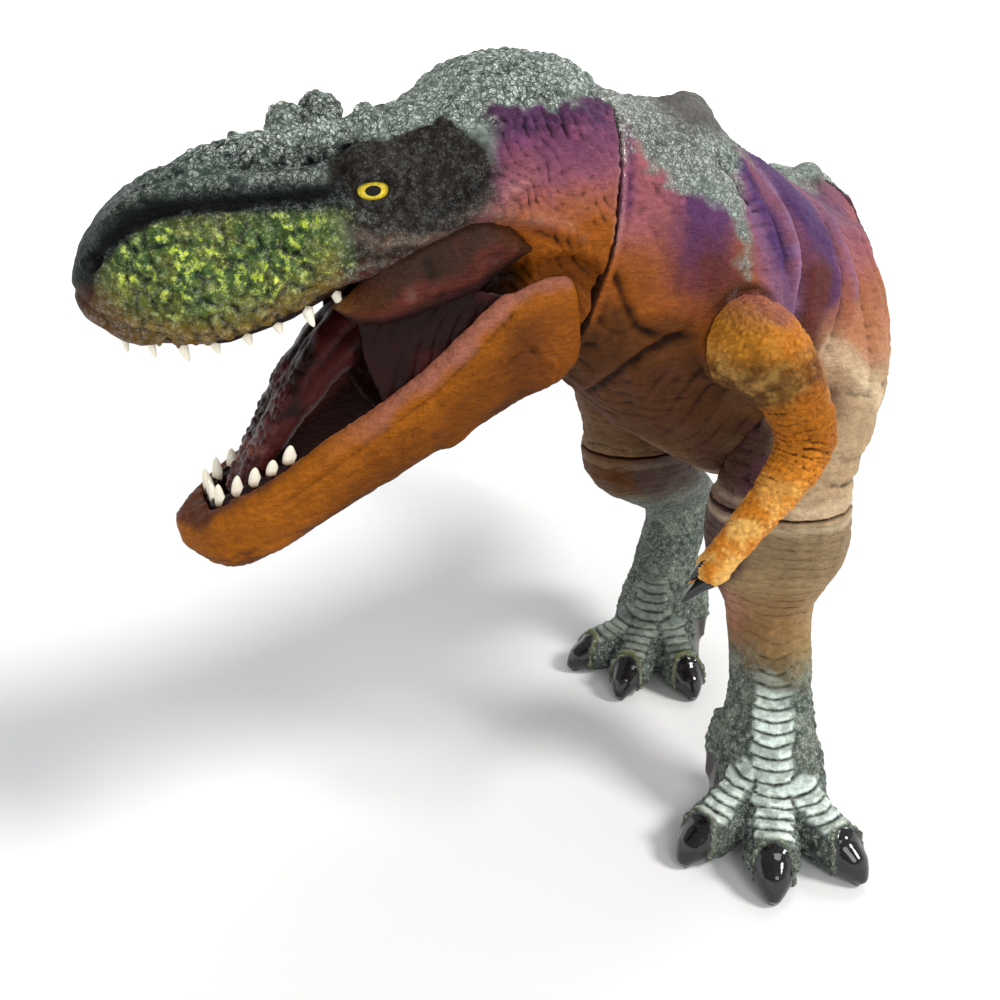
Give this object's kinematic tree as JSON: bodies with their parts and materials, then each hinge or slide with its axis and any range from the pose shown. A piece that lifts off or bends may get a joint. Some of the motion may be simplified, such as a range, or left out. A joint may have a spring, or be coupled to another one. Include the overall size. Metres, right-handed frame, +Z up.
{
  "type": "toy dinosaur figure",
  "caption": "Walking tyrannosaur figure with open hinged jaw, turned head and swept tail; neck, arms, lower legs and tail swivel.",
  "frame": {"origin": "floor point under the middle of the figure's bounding box; the soles stand at Z = 0", "axes": "+Z up, the figure walks towards -Y, its left side is towards +X"},
  "size_m": [0.3078, 0.4772, 0.3038],
  "materials": {
    "body_skin": "satin painted soft vinyl, violet and grey back fading to orange and tan",
    "head_skin": "satin painted soft vinyl, dark green and grey with lime mottling",
    "jaw_skin": "satin painted soft vinyl, ochre orange",
    "arm_skin": "satin painted soft vinyl, golden orange",
    "leg_skin": "satin painted soft vinyl, tan shin and grey-green foot with glossy black claws",
    "tail_skin": "satin painted soft vinyl",
    "mouth_skin": "glossy dark maroon vinyl",
    "teeth": "painted ivory vinyl",
    "eyes": "glossy yellow with a dark pupil",
    "plugs": "plain hard plastic, hidden"
  },
  "bodies": {
    "torso": {"torso_shell": "body_skin"},
    "head": {"head_shell": "head_skin", "palate": "mouth_skin", "upper_teeth": "teeth", "left_eye": "eyes", "right_eye": "eyes", "jaw_pin": "plugs", "neck_plug": "plugs"},
    "jaw": {"jaw_shell": "jaw_skin", "mouth_lining": "mouth_skin", "lower_teeth": "teeth", "tongue": "mouth_skin"},
    "left_arm": {"left_arm": "arm_skin", "left_shoulder_plug": "plugs"},
    "right_arm": {"right_arm": "arm_skin", "right_shoulder_plug": "plugs"},
    "left_leg": {"left_leg": "leg_skin", "left_knee_plug": "plugs"},
    "right_leg": {"right_leg": "leg_skin", "right_knee_plug": "plugs"},
    "tail": {"tail": "tail_skin", "tail_plug": "plugs"}
  },
  "joints": [
    {"name": "neck_swivel", "type": "hinge", "parent": "torso", "child": "head", "pos_m": [0.02545, -0.1013, 0.24544], "axis": [-0.5445, -0.8134, 0.2045], "range_deg": [-12, 12]},
    {"name": "jaw_hinge", "type": "hinge", "parent": "head", "child": "jaw", "pos_m": [0.016, -0.11542, 0.22743], "axis": [-0.831, 0.5563, 0], "range_deg": [0, 12]},
    {"name": "left_shoulder_swivel", "type": "hinge", "parent": "torso", "child": "left_arm", "pos_m": [0.08596, -0.08234, 0.207], "axis": [-0.9026, 0.4305, 0], "range_deg": [-12, 45]},
    {"name": "right_shoulder_swivel", "type": "hinge", "parent": "torso", "child": "right_arm", "pos_m": [0.00112, -0.04187, 0.207], "axis": [-0.9026, 0.4305, 0], "range_deg": [-10, 45]},
    {"name": "left_knee_swivel", "type": "hinge", "parent": "torso", "child": "left_leg", "pos_m": [0.09754, -0.04611, 0.136], "axis": [0, 0, 1], "range_deg": [-20, 20]},
    {"name": "right_knee_swivel", "type": "hinge", "parent": "torso", "child": "right_leg", "pos_m": [0.01154, -0.00911, 0.136], "axis": [0, 0, 1], "range_deg": [-20, 20]},
    {"name": "tail_swivel", "type": "hinge", "parent": "torso", "child": "tail", "pos_m": [0.04654, 0.11589, 0.215], "axis": [-0.2512, 0.9646, 0.0804], "range_deg": [-20, 20]}
  ]
}
